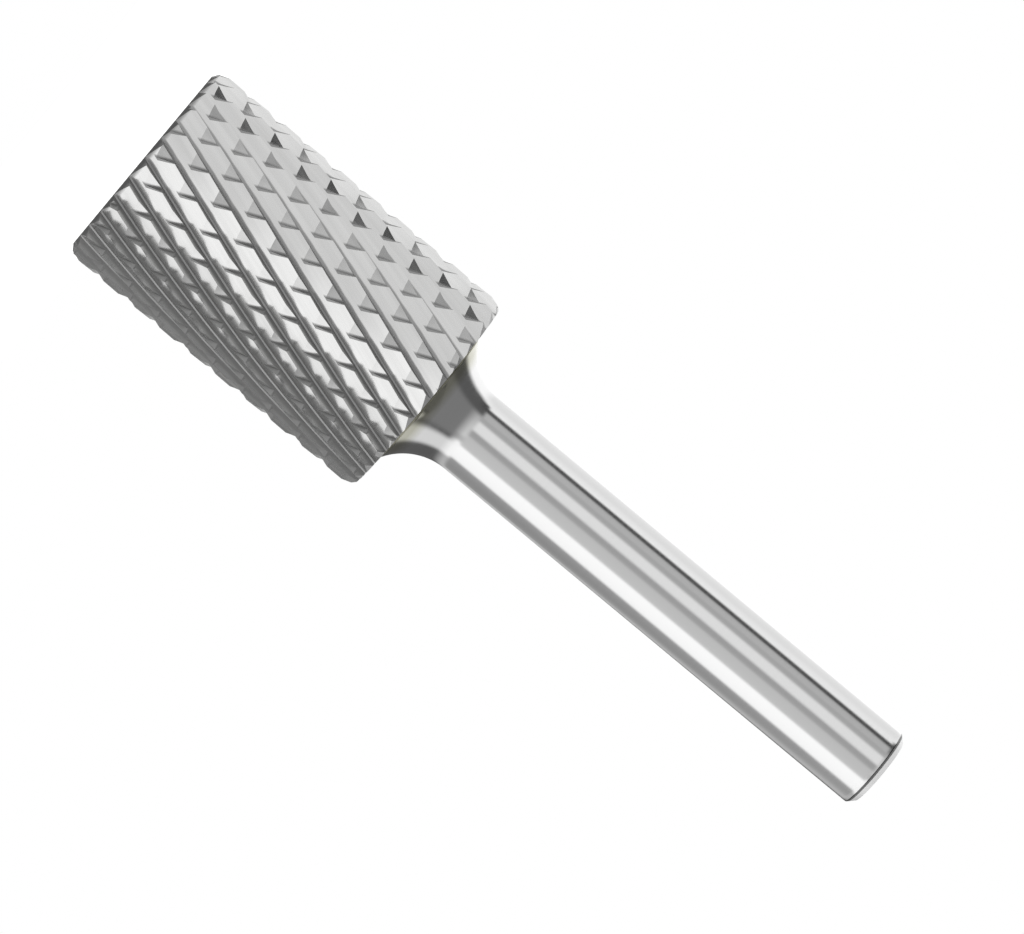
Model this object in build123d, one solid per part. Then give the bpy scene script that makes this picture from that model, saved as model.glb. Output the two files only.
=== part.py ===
from build123d import *
import os

# Cylindrical carbide burr: a double-cut tungsten carbide head, butt brazed to a plain steel shank.
# Millimetres. The burr stands on the flat front face of its head, with its axis on +Z.
# Angles round the axis are in degrees, and grow by the right-hand rule about +Z.

# Overall sizes: the usual 16 x 25 head on a 6 mm shank, 65 long.
HEAD_DIAMETER = 16.0
HEAD_LENGTH = 25.0
SHANK_DIAMETER = 6.0
OVERALL_LENGTH = 65.0

# Edges of the head, broken at both ends so that the teeth don't chip. The front one is a blunt cone
# that runs out just below the roots of the teeth.
FRONT_CONE_LENGTH = 0.45
FRONT_CONE_DEPTH = 0.7
BACK_CHAMFER = 0.45

# The shank flares out in one concave arc to the pad that is brazed to the head.
PAD_DIAMETER = 10.4
FLARE_RADIUS = 4.5
SHANK_END_CHAMFER = 0.5

# The brazing alloy fills the gap between head and pad, and creeps out over the head's back face.
BRAZE_GAP = 0.2
BRAZE_FOOT = 0.35

# Both sets of grooves repeat along the axis at one row pitch, so that the teeth stand in rows.
ROW_PITCH = 4.9

# Main flutes: right-hand helix. Fractions are of the angle from one crest to the next.
# The narrow floor rises towards the rake face, as the round edge of the wheel leaves it.
FLUTE_COUNT = 28
FLUTE_DEPTH = 0.64
FLUTE_RAKE_FRACTION = 0.10
FLUTE_ROOT_FRACTION = 0.07
FLUTE_ROOT_RISE = 0.05

# Cross grooves: left-hand helix, shallower, cut by a wheel of the same form.
CROSS_COUNT = 22
CROSS_DEPTH = 0.41
CROSS_BACK_FRACTION = 0.45
CROSS_RAKE_FRACTION = 0.08
CROSS_START_ANGLE = -7.15

# How far the walls of a cross groove are carried on past the crests, as a part of their length.
CROSS_OVERRUN = 0.3
# Clearance of the envelope that trims the head's ends from the crests of the teeth.
ENVELOPE_CLEARANCE = 0.2

HEAD_RADIUS = HEAD_DIAMETER / 2
SHANK_RADIUS = SHANK_DIAMETER / 2
PAD_RADIUS = PAD_DIAMETER / 2
PAD_HEIGHT = HEAD_LENGTH + BRAZE_GAP


def rim_point(radius, angle):
    """Point of a cross-section at this radius and angle."""
    return Vector(radius, 0, 0).rotate(Axis.Z, angle)


def twisted_prism(corners, count, hand):
    """Prism over the head's length, turned by one groove in each row pitch. hand is +1 for right."""
    twist = hand * 360 / count * HEAD_LENGTH / ROW_PITCH
    return Solid.extrude_linear_with_rotation(
        Face(Wire.make_polygon(corners)), (0, 0, 0), (0, 0, HEAD_LENGTH), twist
    )


def fluted_prism():
    """The head with its main flutes: long flat backs, narrow roots and near-radial rake faces."""
    pitch = 360 / FLUTE_COUNT
    root_radius = HEAD_RADIUS - FLUTE_DEPTH
    corners = []
    for tooth in range(FLUTE_COUNT):
        crest = tooth * pitch
        root_end = crest + pitch * (1 - FLUTE_RAKE_FRACTION)
        root_start = root_end - pitch * FLUTE_ROOT_FRACTION
        corners += [
            rim_point(HEAD_RADIUS, crest),
            rim_point(root_radius, root_start),
            rim_point(root_radius + FLUTE_ROOT_RISE, root_end),
        ]
    return twisted_prism(corners, FLUTE_COUNT, +1)


def cross_cut_prism():
    """A wider prism that bears only the cross grooves, as V notches in its rim."""
    pitch = 360 / CROSS_COUNT
    corners = []
    for groove in range(CROSS_COUNT):
        start = CROSS_START_ANGLE + groove * pitch
        back_top = rim_point(HEAD_RADIUS, start)
        root_angle = start + pitch * CROSS_BACK_FRACTION
        root = rim_point(HEAD_RADIUS - CROSS_DEPTH, root_angle)
        rake_top = rim_point(HEAD_RADIUS, root_angle + pitch * CROSS_RAKE_FRACTION)
        corners += [
            back_top + (back_top - root) * CROSS_OVERRUN,
            root,
            rake_top + (rake_top - root) * CROSS_OVERRUN,
        ]
    return twisted_prism(corners, CROSS_COUNT, -1)


def head_envelope():
    """Turned blank just clear of the crests, with the cones that break the head's two end edges."""
    rim = HEAD_RADIUS + ENVELOPE_CLEARANCE
    front_rise = FRONT_CONE_LENGTH * (FRONT_CONE_DEPTH + ENVELOPE_CLEARANCE) / FRONT_CONE_DEPTH
    with BuildPart() as blank:
        with BuildSketch(Plane.XZ):
            with BuildLine():
                Polyline(
                    (0, 0),
                    (HEAD_RADIUS - FRONT_CONE_DEPTH, 0),
                    (rim, front_rise),
                    (rim, HEAD_LENGTH - BACK_CHAMFER - ENVELOPE_CLEARANCE),
                    (HEAD_RADIUS - BACK_CHAMFER, HEAD_LENGTH),
                    (0, HEAD_LENGTH),
                    close=True,
                )
            make_face()
        revolve(axis=Axis.Z)
    return blank.part


def carbide_head():
    """Solid cylinder of carbide with crossing grooves, which leave one row of teeth behind another."""
    return fluted_prism() & cross_cut_prism() & head_envelope()


def braze_joint():
    """Disc of brazing alloy between head and pad, with the hollow fillet that it draws round them."""
    with BuildPart() as joint:
        with BuildSketch(Plane.XZ):
            with BuildLine():
                foot = Line((0, HEAD_LENGTH), (PAD_RADIUS + BRAZE_FOOT, HEAD_LENGTH))
                fillet = RadiusArc(foot @ 1, (PAD_RADIUS, PAD_HEIGHT), BRAZE_FOOT)
                Polyline(fillet @ 1, (0, PAD_HEIGHT), foot @ 0)
            make_face()
        revolve(axis=Axis.Z)
    return joint.part


def steel_shank():
    """Plain ground shank, flared to its pad at the head and chamfered at its free end."""
    arc_drop = FLARE_RADIUS - (PAD_RADIUS - SHANK_RADIUS)
    flare_height = (FLARE_RADIUS**2 - arc_drop**2) ** 0.5
    with BuildPart() as shank:
        with BuildSketch(Plane.XZ):
            with BuildLine():
                pad = Line((0, PAD_HEIGHT), (PAD_RADIUS, PAD_HEIGHT))
                flare = RadiusArc(pad @ 1, (SHANK_RADIUS, PAD_HEIGHT + flare_height), FLARE_RADIUS)
                Polyline(
                    flare @ 1,
                    (SHANK_RADIUS, OVERALL_LENGTH - SHANK_END_CHAMFER),
                    (SHANK_RADIUS - SHANK_END_CHAMFER, OVERALL_LENGTH),
                    (0, OVERALL_LENGTH),
                    pad @ 0,
                )
            make_face()
        revolve(axis=Axis.Z)
    return shank.part


os.makedirs("parts", exist_ok=True)
for make in (carbide_head, braze_joint, steel_shank):
    export_step(make(), f"parts/{make.__name__}.step")
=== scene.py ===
import math

import bpy
from bpy.props import FloatProperty, FloatVectorProperty, IntProperty, PointerProperty
from mathutils import Matrix, Vector


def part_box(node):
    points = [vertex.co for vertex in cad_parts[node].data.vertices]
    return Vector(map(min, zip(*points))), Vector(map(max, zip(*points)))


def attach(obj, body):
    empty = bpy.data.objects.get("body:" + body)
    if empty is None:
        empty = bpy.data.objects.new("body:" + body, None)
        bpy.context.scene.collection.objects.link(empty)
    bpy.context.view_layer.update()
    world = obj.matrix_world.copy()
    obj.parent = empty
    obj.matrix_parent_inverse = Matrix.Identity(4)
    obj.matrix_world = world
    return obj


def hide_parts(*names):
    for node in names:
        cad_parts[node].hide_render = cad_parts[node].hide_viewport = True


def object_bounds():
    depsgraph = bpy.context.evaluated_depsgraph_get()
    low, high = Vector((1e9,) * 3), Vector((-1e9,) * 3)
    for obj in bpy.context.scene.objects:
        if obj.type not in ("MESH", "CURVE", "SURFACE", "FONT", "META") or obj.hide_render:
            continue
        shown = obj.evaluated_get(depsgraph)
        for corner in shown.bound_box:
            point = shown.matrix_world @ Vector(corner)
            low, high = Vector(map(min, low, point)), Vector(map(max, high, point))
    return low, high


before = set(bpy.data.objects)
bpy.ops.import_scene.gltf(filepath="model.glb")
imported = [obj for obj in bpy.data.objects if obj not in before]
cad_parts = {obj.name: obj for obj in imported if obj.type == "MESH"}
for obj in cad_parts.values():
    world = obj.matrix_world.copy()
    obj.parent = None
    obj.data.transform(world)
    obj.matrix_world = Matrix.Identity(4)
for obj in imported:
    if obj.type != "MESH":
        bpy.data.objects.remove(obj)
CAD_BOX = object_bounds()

bl_info = {
    "name": "Carbide burr",
    "version": (1, 0, 0),
    "blender": (4, 5, 0),
    "location": "View3D > Sidebar > Burr",
    "description": "Dresses the cross-cut head, the braze and the shank of a cylindrical burr",
    "category": "Object",
}

BODY = "root"
MM = 0.001

# The frame's own sizes, in metres.
HEAD_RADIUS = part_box("carbide_head")[1].x
SHANK_LOW, SHANK_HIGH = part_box("steel_shank")
BRAZE_LOW, BRAZE_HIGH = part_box("braze_joint")
PAD_RADIUS = SHANK_HIGH.x
PAD_HEIGHT = SHANK_LOW.z
SHANK_TOP = SHANK_HIGH.z
SHANK_RADIUS = 3.0 * MM
FLARE_RADIUS = 4.5 * MM
END_CHAMFER = 0.5 * MM
CHAMFER_ROOT = SHANK_TOP - END_CHAMFER
END_BEVEL = 0.06 * MM
FLARE_STEPS = 24
# Spare rings sit this far from both ends of the straight shank, so that it shades as a true cylinder.
GUARD = 0.4 * MM
BRAZE_FOOT = 0.35 * MM
BRAZE_STEPS = 10

# The grooves of the head. Both sets repeat along the axis at the row pitch, and a flute takes its
# lead for one whole turn. The cross grooves start 7.15 degrees round, given in grooves.
ROW_PITCH = 4.9 * MM
FLUTE_COUNT = 28
FLUTE_LEAD = FLUTE_COUNT * ROW_PITCH
CROSS_COUNT = 22
CROSS_PHASE = 7.15 * CROSS_COUNT / 360

# Where each mark on the teeth begins and where it is full. Every mark but the rim darkens the carbide
# as painted shade, and all of them make it rougher.
RAKE_LEAN = (-0.5, -0.75)
RAKE_DEPTH = (0.10 * MM, 0.36 * MM)
ROOT_DEPTH = (0.55 * MM, 0.585 * MM)
RIM_SLOPE = (0.55, 0.65)
NOTCH_PHASE = (0.35, 0.42)
NOTCH_END = 0.54
NOTCH_DEPTH = 0.43 * MM
FRONT_SHADE_BAND = (0.42 * MM, 0.18 * MM)


# ---------------------------------------------------------------- sizes and colours a user may change


class BurrHead(bpy.types.PropertyGroup):
    colour: FloatVectorProperty(
        name="Carbide colour", description="Colour of the ground carbide",
        subtype="COLOR", size=3, min=0, max=1, default=(0.72, 0.72, 0.715),
    )
    roughness: FloatProperty(
        name="Roughness", description="Roughness that the grinding wheel leaves",
        subtype="FACTOR", min=0, max=1, default=0.2,
    )


class BurrShank(bpy.types.PropertyGroup):
    colour: FloatVectorProperty(
        name="Steel colour", description="Colour of the ground and polished steel",
        subtype="COLOR", size=3, min=0, max=1, default=(0.72, 0.72, 0.72),
    )
    roughness: FloatProperty(
        name="Roughness", description="Roughness of the polished shank",
        subtype="FACTOR", min=0, max=1, default=0.14,
    )
    facets: IntProperty(
        name="Facets", description="Sides round the turned pieces", min=32, max=512, default=160,
    )


class BurrBraze(bpy.types.PropertyGroup):
    colour: FloatVectorProperty(
        name="Braze colour", description="Colour of the brazing alloy",
        subtype="COLOR", size=3, min=0, max=1, default=(0.45, 0.44, 0.35),
    )


class BurrStage(bpy.types.PropertyGroup):
    floor_colour: FloatVectorProperty(
        name="Floor colour", description="Colour of the plain floor",
        subtype="COLOR", size=3, min=0, max=1, default=(0.8, 0.8, 0.8),
    )
    camera_distance: FloatProperty(
        name="Camera distance", description="From the camera to the middle of the burr",
        subtype="DISTANCE", unit="LENGTH", min=0.1, default=0.57,
    )
    camera_height: FloatProperty(
        name="Camera height", description="Height of the camera over the floor",
        subtype="DISTANCE", unit="LENGTH", min=0, default=0.0015,
    )
    camera_roll: FloatProperty(
        name="Camera roll", description="Slope of the burr's axis below the horizontal in the picture",
        subtype="ANGLE", default=math.radians(39.72),
    )
    view_width: FloatProperty(
        name="View width", description="Width of the picture at the burr",
        subtype="DISTANCE", unit="LENGTH", min=0.01, default=0.0694,
    )


# ---------------------------------------------------------------- small helpers


def deselect_all():
    """Leaves nothing selected, because an operator acts on all that is."""
    if bpy.context.object and bpy.context.object.mode != "OBJECT":
        bpy.ops.object.mode_set(mode="OBJECT")
    bpy.ops.object.select_all(action="DESELECT")


def finish_piece(piece, name, node, material):
    """Names a finished piece, gives it its material and lets it stand for a node of the frame."""
    piece.name = name
    piece.data.name = name
    piece.data.materials.clear()
    piece.data.materials.append(material)
    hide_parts(node)
    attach(piece, BODY)
    return piece


def turned_piece(profile, facets):
    """Turns a closed solid from rings of (radius, height): a circle, extruded and scaled."""
    deselect_all()
    radius, height = profile[0]
    bpy.ops.mesh.primitive_circle_add(
        vertices=facets, radius=radius, fill_type="NGON", location=(0, 0, height)
    )
    piece = bpy.context.object
    bpy.ops.object.transform_apply(location=True, rotation=True, scale=True)
    bpy.ops.object.mode_set(mode="EDIT")
    bpy.ops.mesh.select_all(action="SELECT")
    for next_radius, next_height in profile[1:]:
        bpy.ops.mesh.extrude_region_move(
            TRANSFORM_OT_translate={"value": (0, 0, next_height - height)}
        )
        ratio = next_radius / radius
        bpy.ops.transform.resize(value=(ratio, ratio, 1), center_override=(0, 0, next_height))
        radius, height = next_radius, next_height
    bpy.ops.mesh.select_all(action="SELECT")
    bpy.ops.mesh.normals_make_consistent(inside=False)
    bpy.ops.object.mode_set(mode="OBJECT")
    return piece


def arc_rings(centre, radius, first, last, steps):
    """Rings of (radius, height) along an arc of the section, from the first angle to the last."""
    return [
        (
            centre[0] + radius * math.cos(first + (last - first) * step / steps),
            centre[1] + radius * math.sin(first + (last - first) * step / steps),
        )
        for step in range(steps + 1)
    ]


def apply_modifier(piece, kind, **settings):
    """Adds one modifier to the piece and applies it."""
    deselect_all()
    piece.select_set(True)
    bpy.context.view_layer.objects.active = piece
    modifier = piece.modifiers.new(kind.title(), kind)
    for key, value in settings.items():
        setattr(modifier, key, value)
    bpy.ops.object.modifier_apply(modifier=modifier.name)


# ---------------------------------------------------------------- shader groups


class Nodes:
    """Adds and links the nodes of one node tree."""

    def __init__(self, tree):
        self.tree = tree
        tree.nodes.clear()

    def add(self, kind, inputs=None, **settings):
        """Adds a node, and gives each input its value or links it to a socket."""
        node = self.tree.nodes.new(kind)
        for key, value in settings.items():
            setattr(node, key, value)
        for key, value in (inputs or {}).items():
            if isinstance(value, bpy.types.NodeSocket):
                self.tree.links.new(value, node.inputs[key])
            else:
                node.inputs[key].default_value = value
        return node

    def math(self, operation, *values):
        """One maths node, with its values in the order of its sockets."""
        return self.add("ShaderNodeMath", dict(enumerate(values)), operation=operation).outputs[0]

    def ramp(self, factor, *stops):
        """A colour ramp with these stops of (position, grey or colour)."""
        node = self.add("ShaderNodeValToRGB", {0: factor})
        elements = node.color_ramp.elements
        while len(elements) > 1:
            elements.remove(elements[-1])
        for index, (position, value) in enumerate(stops):
            element = elements[0] if index == 0 else elements.new(position)
            element.position = position
            colour = value if isinstance(value, tuple) else (value, value, value)
            element.color = (*colour, 1)
        return node.outputs[0]

    def rise(self, value, span):
        """Goes from 0 to 1 as the value goes from the first end of the span to the last."""
        ends = {0: value, 1: span[0], 2: span[1], 3: 0.0, 4: 1.0}
        return self.add("ShaderNodeMapRange", ends, clamp=True).outputs[0]

    def vector(self, operation, *values, output="Vector"):
        """One vector node, with its values in the order of its sockets."""
        node = self.add("ShaderNodeVectorMath", dict(enumerate(values)), operation=operation)
        return node.outputs[output]

    def parts(self, vector):
        """The X, Y and Z of a vector."""
        return self.add("ShaderNodeSeparateXYZ", {0: vector}).outputs


def new_group(name, inputs, outputs):
    """Makes an empty shader group with these sockets and returns its nodes, entry and exit."""
    tree = bpy.data.node_groups.new(name, "ShaderNodeTree")
    for socket, (kind, default) in inputs.items():
        made = tree.interface.new_socket(socket, in_out="INPUT", socket_type=kind)
        if default is not None:
            made.default_value = default
    for socket, kind in outputs.items():
        tree.interface.new_socket(socket, in_out="OUTPUT", socket_type=kind)
    nodes = Nodes(tree)
    return nodes, nodes.add("NodeGroupInput").outputs, nodes.add("NodeGroupOutput")


def grinding_group():
    """Fine lines that a grinding wheel leaves: noise drawn out along one axis, as height and tone."""
    nodes, given, result = new_group(
        "Grinding lines",
        {
            "Vector": ("NodeSocketVector", None),
            "Fineness": ("NodeSocketVector", (1, 1, 1)),
            "Evenness": ("NodeSocketFloat", 0.5),
        },
        {"Height": "NodeSocketFloat", "Tone": "NodeSocketFloat"},
    )
    stretched = nodes.vector("MULTIPLY", given["Vector"], given["Fineness"])
    fine = nodes.add(
        "ShaderNodeTexNoise", {"Vector": stretched, "Scale": 1, "Detail": 4, "Roughness": 0.6}
    )
    broad = nodes.add("ShaderNodeTexNoise", {"Vector": stretched, "Scale": 0.17, "Detail": 2})
    height = nodes.math("MULTIPLY_ADD", broad.outputs[0], 0.6, fine.outputs[0])
    uneven = nodes.math("SUBTRACT", broad.outputs[0], given["Evenness"])
    nodes.tree.links.new(height, result.inputs["Height"])
    nodes.tree.links.new(uneven, result.inputs["Tone"])
    return nodes.tree


def tooth_group():
    """Marks the coarse-ground faces of the teeth, which are rougher and, in the recesses, darkened as
    painted shade.

    Rake is the steep walls, with more painted shade the deeper they lie, and Root the floor of the
    flutes. Rim is the back chamfer, which turns up along the axis and is only made rougher, and Notch
    is one wall of each cross groove.
    """
    nodes, given, result = new_group(
        "Tooth faces",
        {"Vector": ("NodeSocketVector", None)},
        {name: "NodeSocketFloat" for name in ("Rake", "Root", "Rim", "Notch")},
    )
    flat = nodes.vector("MULTIPLY", given["Vector"], (1, 1, 0))
    depth = nodes.math("SUBTRACT", HEAD_RADIUS, nodes.vector("LENGTH", flat, output="Value"))
    around = nodes.vector("CROSS_PRODUCT", (0, 0, 1), nodes.vector("NORMALIZE", flat))
    facing = nodes.add("ShaderNodeTexCoord").outputs["Normal"]
    lean = nodes.vector("DOT_PRODUCT", facing, around, output="Value")
    steep = nodes.rise(lean, RAKE_LEAN)
    part = nodes.parts(given["Vector"])
    turns = nodes.math("ARCTAN2", part["Y"], part["X"])
    grooves = nodes.math("MULTIPLY", turns, CROSS_COUNT / math.tau)
    phase = nodes.math("MULTIPLY_ADD", part["Z"], 1 / ROW_PITCH, grooves)
    phase = nodes.math("FRACT", nodes.math("ADD", phase, CROSS_PHASE))
    shallow = nodes.math("LESS_THAN", depth, NOTCH_DEPTH)
    inside = nodes.math("MULTIPLY", nodes.math("LESS_THAN", phase, NOTCH_END), shallow)
    marks = {
        "Rake": nodes.math("MULTIPLY", steep, nodes.rise(depth, RAKE_DEPTH)),
        "Root": nodes.rise(depth, ROOT_DEPTH),
        "Rim": nodes.rise(nodes.parts(facing)["Z"], RIM_SLOPE),
        "Notch": nodes.math("MULTIPLY", nodes.rise(phase, NOTCH_PHASE), inside),
    }
    for name, mark in marks.items():
        nodes.tree.links.new(mark, result.inputs[name])
    return nodes.tree


def build_groups():
    """The shader groups that the materials share."""
    return {"grinding": grinding_group(), "tooth": tooth_group()}


def metal(name):
    """A new material with its nodes, its Principled shader and its object coordinates."""
    material = bpy.data.materials.new(name)
    material.use_nodes = True
    nodes = Nodes(material.node_tree)
    shader = nodes.add("ShaderNodeBsdfPrincipled", {"Metallic": 1.0})
    nodes.add("ShaderNodeOutputMaterial", {"Surface": shader.outputs[0]})
    place = nodes.add("ShaderNodeTexCoord").outputs["Object"]
    return material, nodes, shader, place


def use_group(nodes, tree, **inputs):
    """Places a shader group with its own values."""
    return nodes.add("ShaderNodeGroup", inputs, node_tree=tree).outputs


def set_tone(nodes, shader, colour, tone):
    """Gives the shader a colour, made darker by a tone."""
    mix = nodes.add("ShaderNodeMix", data_type="RGBA", blend_type="MULTIPLY")
    mix.inputs[0].default_value = 1.0
    mix.inputs[6].default_value = (*colour, 1)
    nodes.tree.links.new(tone, mix.inputs[7])
    nodes.tree.links.new(mix.outputs[2], shader.inputs["Base Color"])


def set_bump(nodes, shader, height, strength, distance):
    """Gives the shader the relief of a height."""
    bump = nodes.add(
        "ShaderNodeBump", {"Strength": strength, "Distance": distance, "Height": height}
    )
    nodes.tree.links.new(bump.outputs[0], shader.inputs["Normal"])


# ---------------------------------------------------------------- materials

# How fine the lines of each finish are along X, Y and Z, in noise cells to the metre.
CARBIDE_LINES = (14000, 14000, 420)
STEEL_LINES = (260, 260, 26000)
BRAZE_CLOUDS = (5200, 5200, 5200)
# How much of a full mark the flute roots show, how far the marks darken the ground carbide as painted
# shade, and how much rougher the marks make it.
ROOT_SHARE = 0.9
PAINTED_SHADE_TONE = -0.42
COARSE_ROUGHNESS = 0.3
RIM_ROUGHNESS = 0.4
# The warm tint of the shank by the braze: how far above the pad it has gone, the share of that
# height from which it fades, and its colour.
TINT_REACH = 1.0 * MM
TINT_START = 0.35
TINT_COLOUR = (0.48, 0.475, 0.40)
# A dark line of painted shade along the root of the end chamfer, and how the end differs from the
# polished shank.
SHADE_LINE_BELOW = 0.06 * MM
SHADE_LINE_ABOVE = 0.14 * MM
SHADE_LINE_COLOUR = (0.14, 0.14, 0.14)
END_ROUGHNESS = 0.3
END_METALLIC = -0.6
BRAZE_ROUGHNESS = 0.42


def carbide_material(settings, groups):
    """Satin ground carbide: fine lines along the flutes, rougher on the coarse faces, and painted
    shade on the rake walls, flute roots, notch walls and front band.
    """
    material, nodes, shader, place = metal("ground_carbide")
    height = nodes.parts(place)["Z"]
    turn = nodes.math("MULTIPLY", height, -math.tau / FLUTE_LEAD)
    untwisted = nodes.add(
        "ShaderNodeVectorRotate", {"Vector": place, "Angle": turn}, rotation_type="Z_AXIS"
    ).outputs[0]
    lines = use_group(nodes, groups["grinding"], Vector=untwisted, Fineness=CARBIDE_LINES)
    tooth = use_group(nodes, groups["tooth"], Vector=place)
    # Painted shade: the rake walls, the flute roots, one wall of each cross groove and a band along
    # the front are darkened in colour here. The same mask also makes them rougher.
    shade_and_coarse = tooth["Rake"]
    root = nodes.math("MULTIPLY", tooth["Root"], ROOT_SHARE)
    for mark in (root, tooth["Notch"], nodes.rise(height, FRONT_SHADE_BAND)):
        shade_and_coarse = nodes.math("MAXIMUM", shade_and_coarse, mark)
    grain = nodes.ramp(nodes.math("ADD", lines["Tone"], 0.5), (0.3, 0.88), (0.7, 1.0))
    tone = nodes.math("MULTIPLY", grain, nodes.math("MULTIPLY_ADD", shade_and_coarse, PAINTED_SHADE_TONE, 1.0))
    set_tone(nodes, shader, settings.colour, tone)
    roughness = nodes.math("MULTIPLY_ADD", lines["Tone"], 0.12, settings.roughness)
    roughness = nodes.math("MULTIPLY_ADD", shade_and_coarse, COARSE_ROUGHNESS, roughness)
    roughness = nodes.math("MULTIPLY_ADD", tooth["Rim"], RIM_ROUGHNESS, roughness)
    nodes.tree.links.new(roughness, shader.inputs["Roughness"])
    set_bump(nodes, shader, lines["Height"], strength=0.25, distance=0.004 * MM)
    return material


def steel_material(settings, groups):
    """Centreless-ground and polished steel: faint rings, a warm tint by the braze, painted shade round
    the root of the end chamfer and a duller end.
    """
    material, nodes, shader, place = metal("polished_steel")
    lines = use_group(nodes, groups["grinding"], Vector=place, Fineness=STEEL_LINES)
    height = nodes.parts(place)["Z"]
    above = nodes.math("DIVIDE", nodes.math("SUBTRACT", height, PAD_HEIGHT), TINT_REACH)
    tint = nodes.ramp(above, (TINT_START, TINT_COLOUR), (1.0, tuple(settings.colour)))
    # Painted shade: a dark line round the root of the end chamfer.
    shade_line = nodes.math(
        "MULTIPLY",
        nodes.math("GREATER_THAN", height, CHAMFER_ROOT - SHADE_LINE_BELOW),
        nodes.math("LESS_THAN", height, CHAMFER_ROOT + SHADE_LINE_ABOVE),
    )
    dark = nodes.add("ShaderNodeMix", {0: shade_line}, data_type="RGBA")
    nodes.tree.links.new(tint, dark.inputs[6])
    dark.inputs[7].default_value = (*SHADE_LINE_COLOUR, 1)
    nodes.tree.links.new(dark.outputs[2], shader.inputs["Base Color"])
    roughness = nodes.math("MULTIPLY_ADD", lines["Tone"], 0.08, settings.roughness)
    end = nodes.math("GREATER_THAN", height, CHAMFER_ROOT)
    roughness = nodes.math("MULTIPLY_ADD", end, END_ROUGHNESS, roughness)
    nodes.tree.links.new(
        nodes.math("MULTIPLY_ADD", end, END_METALLIC, 1.0), shader.inputs["Metallic"]
    )
    nodes.tree.links.new(roughness, shader.inputs["Roughness"])
    set_bump(nodes, shader, lines["Height"], strength=0.12, distance=0.002 * MM)
    return material


def braze_material(settings, groups):
    """Dull brazing alloy with a cloudy, slightly pitted skin."""
    material, nodes, shader, place = metal("brazing_alloy")
    lines = use_group(nodes, groups["grinding"], Vector=place, Fineness=BRAZE_CLOUDS)
    tone = nodes.ramp(nodes.math("ADD", lines["Tone"], 0.5), (0.3, 0.55), (0.7, 1.0))
    set_tone(nodes, shader, settings.colour, tone)
    roughness = nodes.math("MULTIPLY_ADD", lines["Tone"], 0.3, BRAZE_ROUGHNESS)
    nodes.tree.links.new(roughness, shader.inputs["Roughness"])
    set_bump(nodes, shader, lines["Height"], strength=0.5, distance=0.02 * MM)
    return material


# ---------------------------------------------------------------- pieces


class BURR_OT_dress_head(bpy.types.Operator):
    """Gives the toothed head its ground carbide finish"""

    bl_idname = "burr.dress_head"
    bl_label = "Dress the head"

    def execute(self, context):
        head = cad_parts["carbide_head"]
        head.data.materials.clear()
        head.data.materials.append(carbide_material(context.scene.burr_head, GROUPS))
        return {"FINISHED"}


class BURR_OT_turn_shank(bpy.types.Operator):
    """Turns the steel shank, with its hollow flare and chamfered end"""

    bl_idname = "burr.turn_shank"
    bl_label = "Turn the shank"

    def execute(self, context):
        settings = context.scene.burr_shank
        drop = math.acos(1 - (PAD_RADIUS - SHANK_RADIUS) / FLARE_RADIUS)
        centre = (SHANK_RADIUS + FLARE_RADIUS, PAD_HEIGHT + FLARE_RADIUS * math.sin(drop))
        profile = arc_rings(centre, FLARE_RADIUS, math.pi + drop, math.pi, FLARE_STEPS)
        profile += [
            (SHANK_RADIUS, centre[1] + GUARD),
            (SHANK_RADIUS, CHAMFER_ROOT - GUARD),
            (SHANK_RADIUS, CHAMFER_ROOT),
            (SHANK_RADIUS - END_CHAMFER, SHANK_TOP),
        ]
        shank = turned_piece(profile, settings.facets)
        apply_modifier(
            shank, "BEVEL", width=END_BEVEL, segments=3, limit_method="ANGLE",
            angle_limit=math.radians(30),
        )
        bpy.ops.object.shade_smooth_by_angle(angle=math.radians(28))
        finish_piece(shank, "shank", "steel_shank", steel_material(settings, GROUPS))
        return {"FINISHED"}


class BURR_OT_run_braze(bpy.types.Operator):
    """Runs the brazing alloy between head and shank, out to a hollow fillet"""

    bl_idname = "burr.run_braze"
    bl_label = "Run the braze"

    def execute(self, context):
        settings = context.scene.burr_braze
        rise = BRAZE_HIGH.z - BRAZE_LOW.z
        angles = [math.pi / 2 * step / BRAZE_STEPS for step in range(BRAZE_STEPS + 1)]
        profile = [
            (
                PAD_RADIUS + BRAZE_FOOT * (1 - math.sin(angle)),
                BRAZE_LOW.z + rise * (1 - math.cos(angle)),
            )
            for angle in angles
        ]
        braze = turned_piece(profile, context.scene.burr_shank.facets)
        bpy.ops.object.shade_smooth_by_angle(angle=math.radians(35))
        finish_piece(braze, "braze", "braze_joint", braze_material(settings, GROUPS))
        return {"FINISHED"}


# ---------------------------------------------------------------- stage

# Near side of the burr: the turn round the axis, from +X, of the side that faces the camera.
NEAR_SIDE = math.radians(-12.52)

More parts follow.
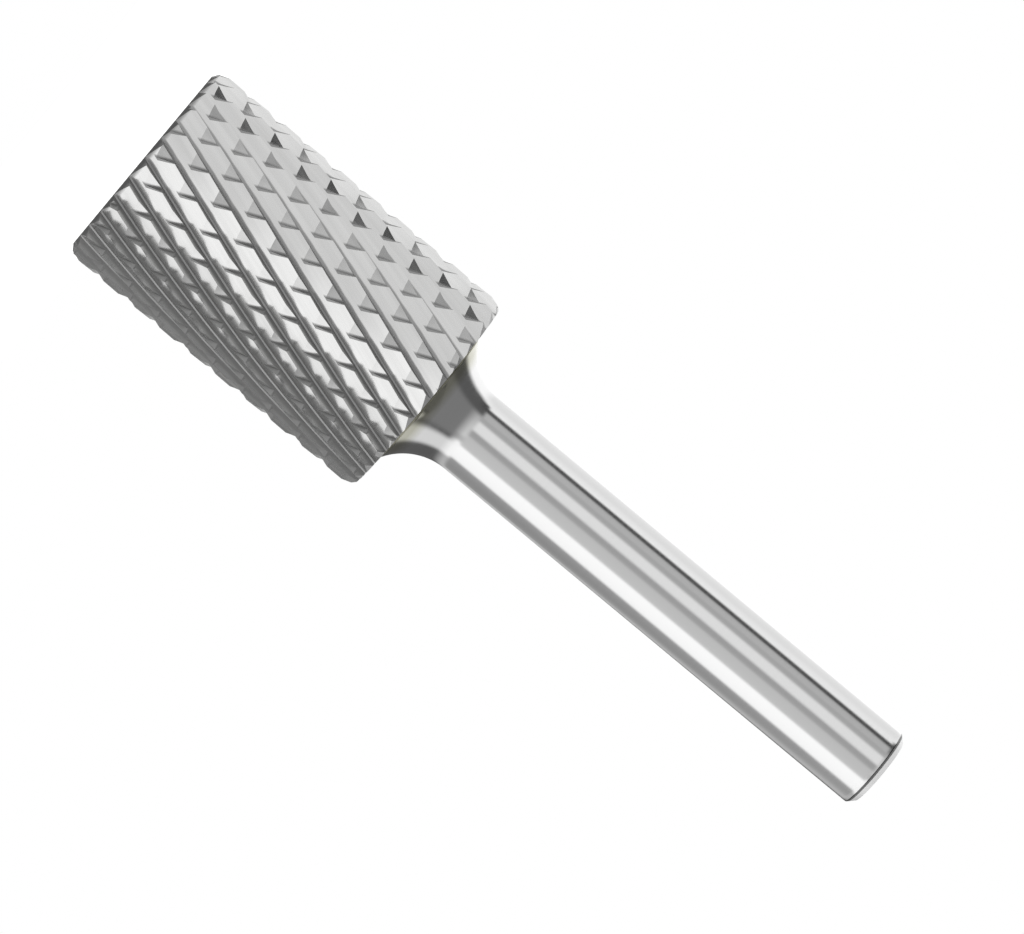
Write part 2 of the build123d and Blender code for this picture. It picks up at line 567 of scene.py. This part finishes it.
# What the metal mirrors: softboxes, gaps and cards, as stops of (turn, level), where 1 is white. Each
# is placed by the face that shows it to the near side. The turn is that face's turn round the axis
# from the near side, in degrees. SURROUND has these rows in order of the face's slope along the axis,
# which is the axial part of its normal, from the front of the burr to its shank.
FLUTE_BACK_LIGHTS = (
    (-90, 1.35), (-42, 1.35), (-38, 1.14), (9, 1.14), (20, 1.62), (42, 1.62), (50, 1.45), (90, 1.60),
)
CROSS_BACK_LIGHTS = (
    (-90, 1.35), (-60, 1.22), (-48, 1.45), (-44.5, 0.08), (-29, 0.16), (-23, 0.70), (-8, 0.90),
    (8, 0.98), (12, 0.74), (16, 0.78), (20, 1.60), (44, 1.60), (50, 0.75), (78, 0.75), (90, 1.20),
)
SHANK_LIGHTS = (
    (-90, 1.32), (-56, 1.22), (-43, 1.50), (-40.5, 0.10), (-36.5, 0.10), (-34, 0.72), (-27, 0.74),
    (-25, 0.62), (-20, 0.64), (-17, 1.25), (-6, 1.25), (-3, 0.54), (3, 0.58), (6, 0.86),
    (20, 0.90), (23, 1.70), (42, 1.60), (46, 0.50), (58, 0.42), (72, 0.42), (78, 1.20), (90, 1.35),
)
CROSS_RAKE_LIGHTS = ((-90, 0.12), (-57, 0.12), (-50, 1.20), (-8, 1.20), (5, 0.50), (90, 0.50))
FLARE_LIGHTS = (
    (-90, 1.6), (-52, 1.6), (-45, 0.15), (-30, 0.15), (-24, 0.3), (14, 0.3), (20, 0.15),
    (26, 1.1), (42, 1.1), (48, 0.15), (90, 0.15),
)
SURROUND = (
    (-0.60, ((-90, 0.30), (90, 0.30))),
    (-0.46, CROSS_RAKE_LIGHTS),
    (-0.34, CROSS_RAKE_LIGHTS),
    (-0.22, FLUTE_BACK_LIGHTS),
    (-0.07, FLUTE_BACK_LIGHTS),
    (-0.03, SHANK_LIGHTS),
    (0.085, SHANK_LIGHTS),
    (0.14, CROSS_BACK_LIGHTS),
    (0.175, CROSS_BACK_LIGHTS),
    (0.32, FLARE_LIGHTS),
    (0.86, FLARE_LIGHTS),
    (0.97, ((-90, 0.15), (90, 0.15))),
)
# Ramps hold levels up to 1, so the levels are divided by this and multiplied again after them.
BRIGHTEST = 2.0

FLOOR_RADIUS = 3.0
FLOOR_SIDES = 96
FLOOR_LIFT = 0.35
LAMP_PLACE = (0.15, -0.25, 0.5)
LAMP_AIM = (0, 0, 0.02)
LAMP_SIZE = 0.4
LAMP_POWER = 1.2


def dress_world():
    """Plain white to camera and diffuse rays. Metal mirrors the levels in SURROUND instead.

    The direction of a ray and the near side have a direction half way between them. It is the normal
    of the face that shows this part of the surround to the near side, and it picks the level.
    """
    world = bpy.data.worlds.new("studio")
    bpy.context.scene.world = world
    world.use_nodes = True
    nodes = Nodes(world.node_tree)
    direction = nodes.add("ShaderNodeTexCoord").outputs["Generated"]
    turned = nodes.add(
        "ShaderNodeVectorRotate", {"Vector": direction, "Angle": -NEAR_SIDE}, rotation_type="Z_AXIS"
    ).outputs[0]
    facing = nodes.vector("NORMALIZE", nodes.vector("ADD", turned, (1, 0, 0)))
    part = nodes.parts(facing)
    angle = nodes.math("ARCTAN2", part["Y"], part["X"])
    place = nodes.math("MULTIPLY_ADD", angle, 1 / math.pi, 0.5)
    rows = [
        nodes.ramp(place, *((turn / 180 + 0.5, value / BRIGHTEST) for turn, value in stops))
        for _, stops in SURROUND
    ]
    level = rows[0]
    for (below, _), (above, _), row in zip(SURROUND, SURROUND[1:], rows[1:]):
        share = nodes.rise(part["Z"], (below, above))
        level = nodes.add("ShaderNodeMix", {0: share, 2: level, 3: row}).outputs[0]
    strength = nodes.math("MULTIPLY", level, BRIGHTEST)
    light = nodes.add("ShaderNodeBackground", {"Strength": strength})
    plain = nodes.add("ShaderNodeBackground", {"Color": (1, 1, 1, 1), "Strength": 1.0})
    rays = nodes.add("ShaderNodeLightPath").outputs
    shown = nodes.add(
        "ShaderNodeMixShader",
        {
            0: nodes.math("MAXIMUM", rays["Is Camera Ray"], rays["Is Diffuse Ray"]),
            1: light.outputs[0],
            2: plain.outputs[0],
        },
    )
    nodes.add("ShaderNodeOutputWorld", {"Surface": shown.outputs[0]})


def floor_material(colour):
    """Matt pale floor, lifted to white for the camera so that only the shadow shows."""
    material = bpy.data.materials.new("pale_floor")
    material.use_nodes = True
    nodes = Nodes(material.node_tree)
    matt = nodes.add("ShaderNodeBsdfDiffuse", {"Color": (*colour, 1)})
    lift = nodes.add("ShaderNodeEmission", {"Strength": FLOOR_LIFT})
    both = nodes.add("ShaderNodeAddShader", {0: matt.outputs[0], 1: lift.outputs[0]})
    rays = nodes.add("ShaderNodeLightPath").outputs
    seen = nodes.add(
        "ShaderNodeMixShader", {0: rays["Is Camera Ray"], 1: matt.outputs[0], 2: both.outputs[0]}
    )
    nodes.add("ShaderNodeOutputMaterial", {"Surface": seen.outputs[0]})
    return material


class BURR_OT_set_stage(bpy.types.Operator):
    """Sets the floor, the light and the camera"""

    bl_idname = "burr.set_stage"
    bl_label = "Set the stage"

    def execute(self, context):
        settings = context.scene.burr_stage
        deselect_all()
        bpy.ops.mesh.primitive_circle_add(
            vertices=FLOOR_SIDES, radius=FLOOR_RADIUS, fill_type="NGON", location=(0, 0, 0)
        )
        floor = context.object
        floor.name = "floor"
        floor.data.materials.append(floor_material(settings.floor_colour))
        floor.visible_glossy = False
        dress_world()
        bpy.ops.object.light_add(type="AREA", location=LAMP_PLACE)
        lamp = context.object
        lamp.name = "overhead_lamp"
        lamp.data.size = LAMP_SIZE
        lamp.data.energy = LAMP_POWER
        lamp.visible_glossy = False
        aim = Vector(LAMP_AIM) - lamp.location
        lamp.rotation_euler = aim.to_track_quat("-Z", "Y").to_euler()
        self.place_camera(context, settings)
        context.scene.view_settings.view_transform = "Standard"
        return {"FINISHED"}

    def place_camera(self, context, settings):
        """Looks at the middle of the burr, so that its axis runs down to the right."""
        target = Vector((0, 0, (CAD_BOX[0].z + CAD_BOX[1].z) / 2))
        sink = math.asin((target.z - settings.camera_height) / settings.camera_distance)
        near = Vector((math.cos(NEAR_SIDE), math.sin(NEAR_SIDE), 0))
        axis = Vector((0, 0, 1))
        back = near * math.cos(sink) - axis * math.sin(sink)
        along = axis * math.cos(sink) + near * math.sin(sink)
        across = along.cross(back)
        cosine, sine = math.cos(settings.camera_roll), math.sin(settings.camera_roll)
        right = along * cosine - across * sine
        up = -along * sine - across * cosine
        bpy.ops.object.camera_add()
        camera = context.object
        camera.name = "camera"
        turn = Matrix((right, up, back)).transposed().to_4x4()
        camera.matrix_world = Matrix.Translation(target + back * settings.camera_distance) @ turn
        camera.data.lens = camera.data.sensor_width * settings.camera_distance / settings.view_width
        context.scene.camera = camera


class BURR_PT_sidebar(bpy.types.Panel):
    """Lists the pieces of the burr and their settings"""

    bl_idname = "BURR_PT_sidebar"
    bl_label = "Carbide burr"
    bl_space_type = "VIEW_3D"
    bl_region_type = "UI"
    bl_category = "Burr"

    def draw(self, context):
        for operator, group in OPERATORS:
            box = self.layout.box()
            box.operator(operator.bl_idname)
            settings = getattr(context.scene, group)
            for name in settings.__annotations__:
                box.prop(settings, name)


GROUPS = {}
OPERATORS = (
    (BURR_OT_dress_head, "burr_head"),
    (BURR_OT_turn_shank, "burr_shank"),
    (BURR_OT_run_braze, "burr_braze"),
    (BURR_OT_set_stage, "burr_stage"),
)
SETTINGS = {
    "burr_head": BurrHead,
    "burr_shank": BurrShank,
    "burr_braze": BurrBraze,
    "burr_stage": BurrStage,
}
CLASSES = (*SETTINGS.values(), *(operator for operator, _ in OPERATORS), BURR_PT_sidebar)


def register():
    for item in CLASSES:
        bpy.utils.register_class(item)
    for name, group in SETTINGS.items():
        setattr(bpy.types.Scene, name, PointerProperty(type=group))


def unregister():
    for name in SETTINGS:
        delattr(bpy.types.Scene, name)
    for item in reversed(CLASSES):
        bpy.utils.unregister_class(item)


def main():
    """Registers the classes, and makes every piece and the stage."""
    register()
    GROUPS.update(build_groups())
    bpy.ops.burr.dress_head()
    bpy.ops.burr.turn_shank()
    bpy.ops.burr.run_braze()
    bpy.ops.burr.set_stage()


if __name__ == "__main__":
    main()
